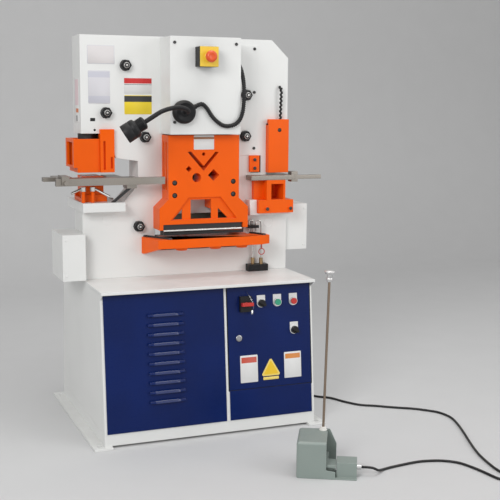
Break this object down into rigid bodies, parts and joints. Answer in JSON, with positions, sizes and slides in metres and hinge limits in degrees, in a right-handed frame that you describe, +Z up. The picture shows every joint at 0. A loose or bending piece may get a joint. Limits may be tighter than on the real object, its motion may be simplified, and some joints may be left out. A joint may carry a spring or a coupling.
{
  "type": "ironworker machine",
  "caption": "Hydraulic ironworker: upright twin-plate frame with punch, section shear, flat shear and notcher on a floor cabinet, with foot switch, lamp and controls.",
  "frame": {"origin": "centre of the four floor anchor holes, on the floor", "axes": "+X to the machine's right as seen from the front, +Y to its back (the front faces -Y), +Z up"},
  "size_m": [1.3977, 1.3959, 1.365],
  "materials": {
    "white_paint": "semi-gloss white enamel",
    "blue_paint": "dark navy blue enamel",
    "grey_steel_paint": "grey enamel",
    "dark_steel": "blackened steel",
    "bright_steel": "ground steel",
    "gauge_steel": "plated steel",
    "bronze": "bearing bronze",
    "orange_paint": "gloss safety orange",
    "enclosure_plastic": "mounting plate with black switchgear",
    "yellow_plastic": "yellow moulding on a black base",
    "red_plastic": "red moulding",
    "green_plastic": "green moulding",
    "black_plastic": "black moulding",
    "cable_rubber": "black cable sheath",
    "pipe_brass": "brass pipe and fittings on a black block",
    "label_plastic": "plain label fields",
    "hammertone_grey": "grey-green hammered paint"
  },
  "bodies": {
    "machine": {"base_frame": "white_paint", "cabinet": "white_paint", "front_panels": "blue_paint", "oil_tank": "grey_steel_paint", "motor_body": "grey_steel_paint", "electrical_panel": "enclosure_plastic", "frame_front_plate": "white_paint", "frame_rear_plate": "white_paint", "frame_spacers": "white_paint", "bed_plates": "white_paint", "cylinder_barrel": "dark_steel", "gib_screws": "dark_steel", "gib_pads": "bronze", "die_holder": "orange_paint", "die": "bright_steel", "stripper_bracket": "orange_paint", "punch_table": "gauge_steel", "section_block": "orange_paint", "hold_down_bar": "bright_steel", "lower_blade": "bright_steel", "shear_table": "orange_paint", "notch_die": "orange_paint", "notch_table": "gauge_steel", "notch_guard": "orange_paint", "side_boxes": "white_paint", "pressure_pipes": "bright_steel", "cylinder_covers": "white_paint", "cover_screws": "dark_steel", "estop_box": "yellow_plastic", "lamp_base": "black_plastic", "lamp_head": "black_plastic", "lamp_cord": "cable_rubber", "jaw_cord": "cable_rubber", "lube_lines": "pipe_brass", "label_plates": "label_plastic", "pedal_housing": "hammertone_grey", "foot_cable": "cable_rubber"},
    "ram": {"ram_plate": "bright_steel", "cylinder_rod": "bright_steel", "punch_holder": "dark_steel", "punch": "bright_steel", "upper_blade": "bright_steel", "notch_blade": "bright_steel"},
    "stripper": {"stripper_box": "orange_paint"},
    "lever_left": {"clamp_lever_left": "bright_steel"},
    "lever_right": {"clamp_lever_right": "bright_steel"},
    "table_stop": {"table_stop": "gauge_steel"},
    "notch_gauge": {"notch_gauge": "gauge_steel"},
    "estop_button": {"estop_button": "red_plastic"},
    "door": {"control_door": "blue_paint", "door_fittings": "black_plastic"},
    "door_lock": {"door_lock": "bright_steel"},
    "switch_handle": {"switch_handle": "red_plastic"},
    "start_button": {"start_button": "green_plastic"},
    "stop_button": {"stop_button": "red_plastic"},
    "selector_start": {"selector_start": "black_plastic"},
    "selector_mode": {"selector_mode": "black_plastic"},
    "pedal": {"pedal": "hammertone_grey"},
    "motor_rotor": {"motor_rotor": "bright_steel"},
    "red_tag": {"red_tag": "red_plastic"}
  },
  "joints": [
    {"name": "ram_stroke", "type": "slide", "parent": "machine", "child": "ram", "axis": [0, 0, 1], "range_m": [-0.045, 0]},
    {"name": "stripper_height", "type": "slide", "parent": "machine", "child": "stripper", "axis": [0, 0, 1], "range_m": [-0.012, 0.012]},
    {"name": "lever_left_swing", "type": "hinge", "parent": "machine", "child": "lever_left", "pos_m": [-0.386, -0.085, 0.843], "axis": [0, 0, 1], "range_deg": [-40, 40]},
    {"name": "lever_right_swing", "type": "hinge", "parent": "machine", "child": "lever_right", "pos_m": [-0.353, -0.085, 0.843], "axis": [0, 0, 1], "range_deg": [-40, 40]},
    {"name": "table_stop_slide", "type": "slide", "parent": "machine", "child": "table_stop", "axis": [1, 0, 0], "range_m": [-0.015, 0.05]},
    {"name": "notch_gauge_slide", "type": "slide", "parent": "machine", "child": "notch_gauge", "axis": [1, 0, 0], "range_m": [-0.004, 0.09]},
    {"name": "estop_press", "type": "slide", "parent": "machine", "child": "estop_button", "axis": [0, 1, 0], "range_m": [0, 0.005], "stiffness_N_per_m": 900, "springref_m": -0.003},
    {"name": "door_swing", "type": "hinge", "parent": "machine", "child": "door", "pos_m": [0.373, -0.31048, 0.33297], "axis": [0, 0.0955, 0.9954], "range_deg": [0, 100]},
    {"name": "lock_turn", "type": "hinge", "parent": "door", "child": "door_lock", "pos_m": [0.1, -0.30748, 0.33284], "axis": [0, 0.9954, -0.0955], "range_deg": [0, 90]},
    {"name": "main_switch_turn", "type": "hinge", "parent": "door", "child": "switch_handle", "pos_m": [0.126, -0.31313, 0.45192], "axis": [0, 0.9954, -0.0955], "range_deg": [0, 90]},
    {"name": "start_press", "type": "slide", "parent": "door", "child": "start_button", "axis": [0, 0.9954, -0.0955], "range_m": [0, 0.004], "stiffness_N_per_m": 600, "springref_m": -0.002},
    {"name": "stop_press", "type": "slide", "parent": "door", "child": "stop_button", "axis": [0, 0.9954, -0.0955], "range_m": [0, 0.004], "stiffness_N_per_m": 600, "springref_m": -0.002},
    {"name": "selector_start_turn", "type": "hinge", "parent": "door", "child": "selector_start", "pos_m": [0.187, -0.30725, 0.45035], "axis": [0, 0.9954, -0.0955], "range_deg": [-45, 45]},
    {"name": "selector_mode_turn", "type": "hinge", "parent": "door", "child": "selector_mode", "pos_m": [0.31, -0.317, 0.34882], "axis": [0, 0.9954, -0.0955], "range_deg": [-45, 45]},
    {"name": "pedal_press", "type": "hinge", "parent": "machine", "child": "pedal", "pos_m": [0.15293, -0.73494, 0.042], "axis": [0.4695, 0.8829, 0], "range_deg": [0, 8], "stiffness_Nm_per_rad": 12, "springref_deg": -8.59},
    {"name": "motor_spin", "type": "hinge", "parent": "machine", "child": "motor_rotor", "pos_m": [-0.24, -0.01, 0.34], "axis": [1, 0, 0], "continuous": true},
    {"name": "tag_swing", "type": "hinge", "parent": "machine", "child": "red_tag", "pos_m": [0.265, -0.112, 0.6353], "axis": [0, 1, 0], "range_deg": [-15, 15]}
  ]
}
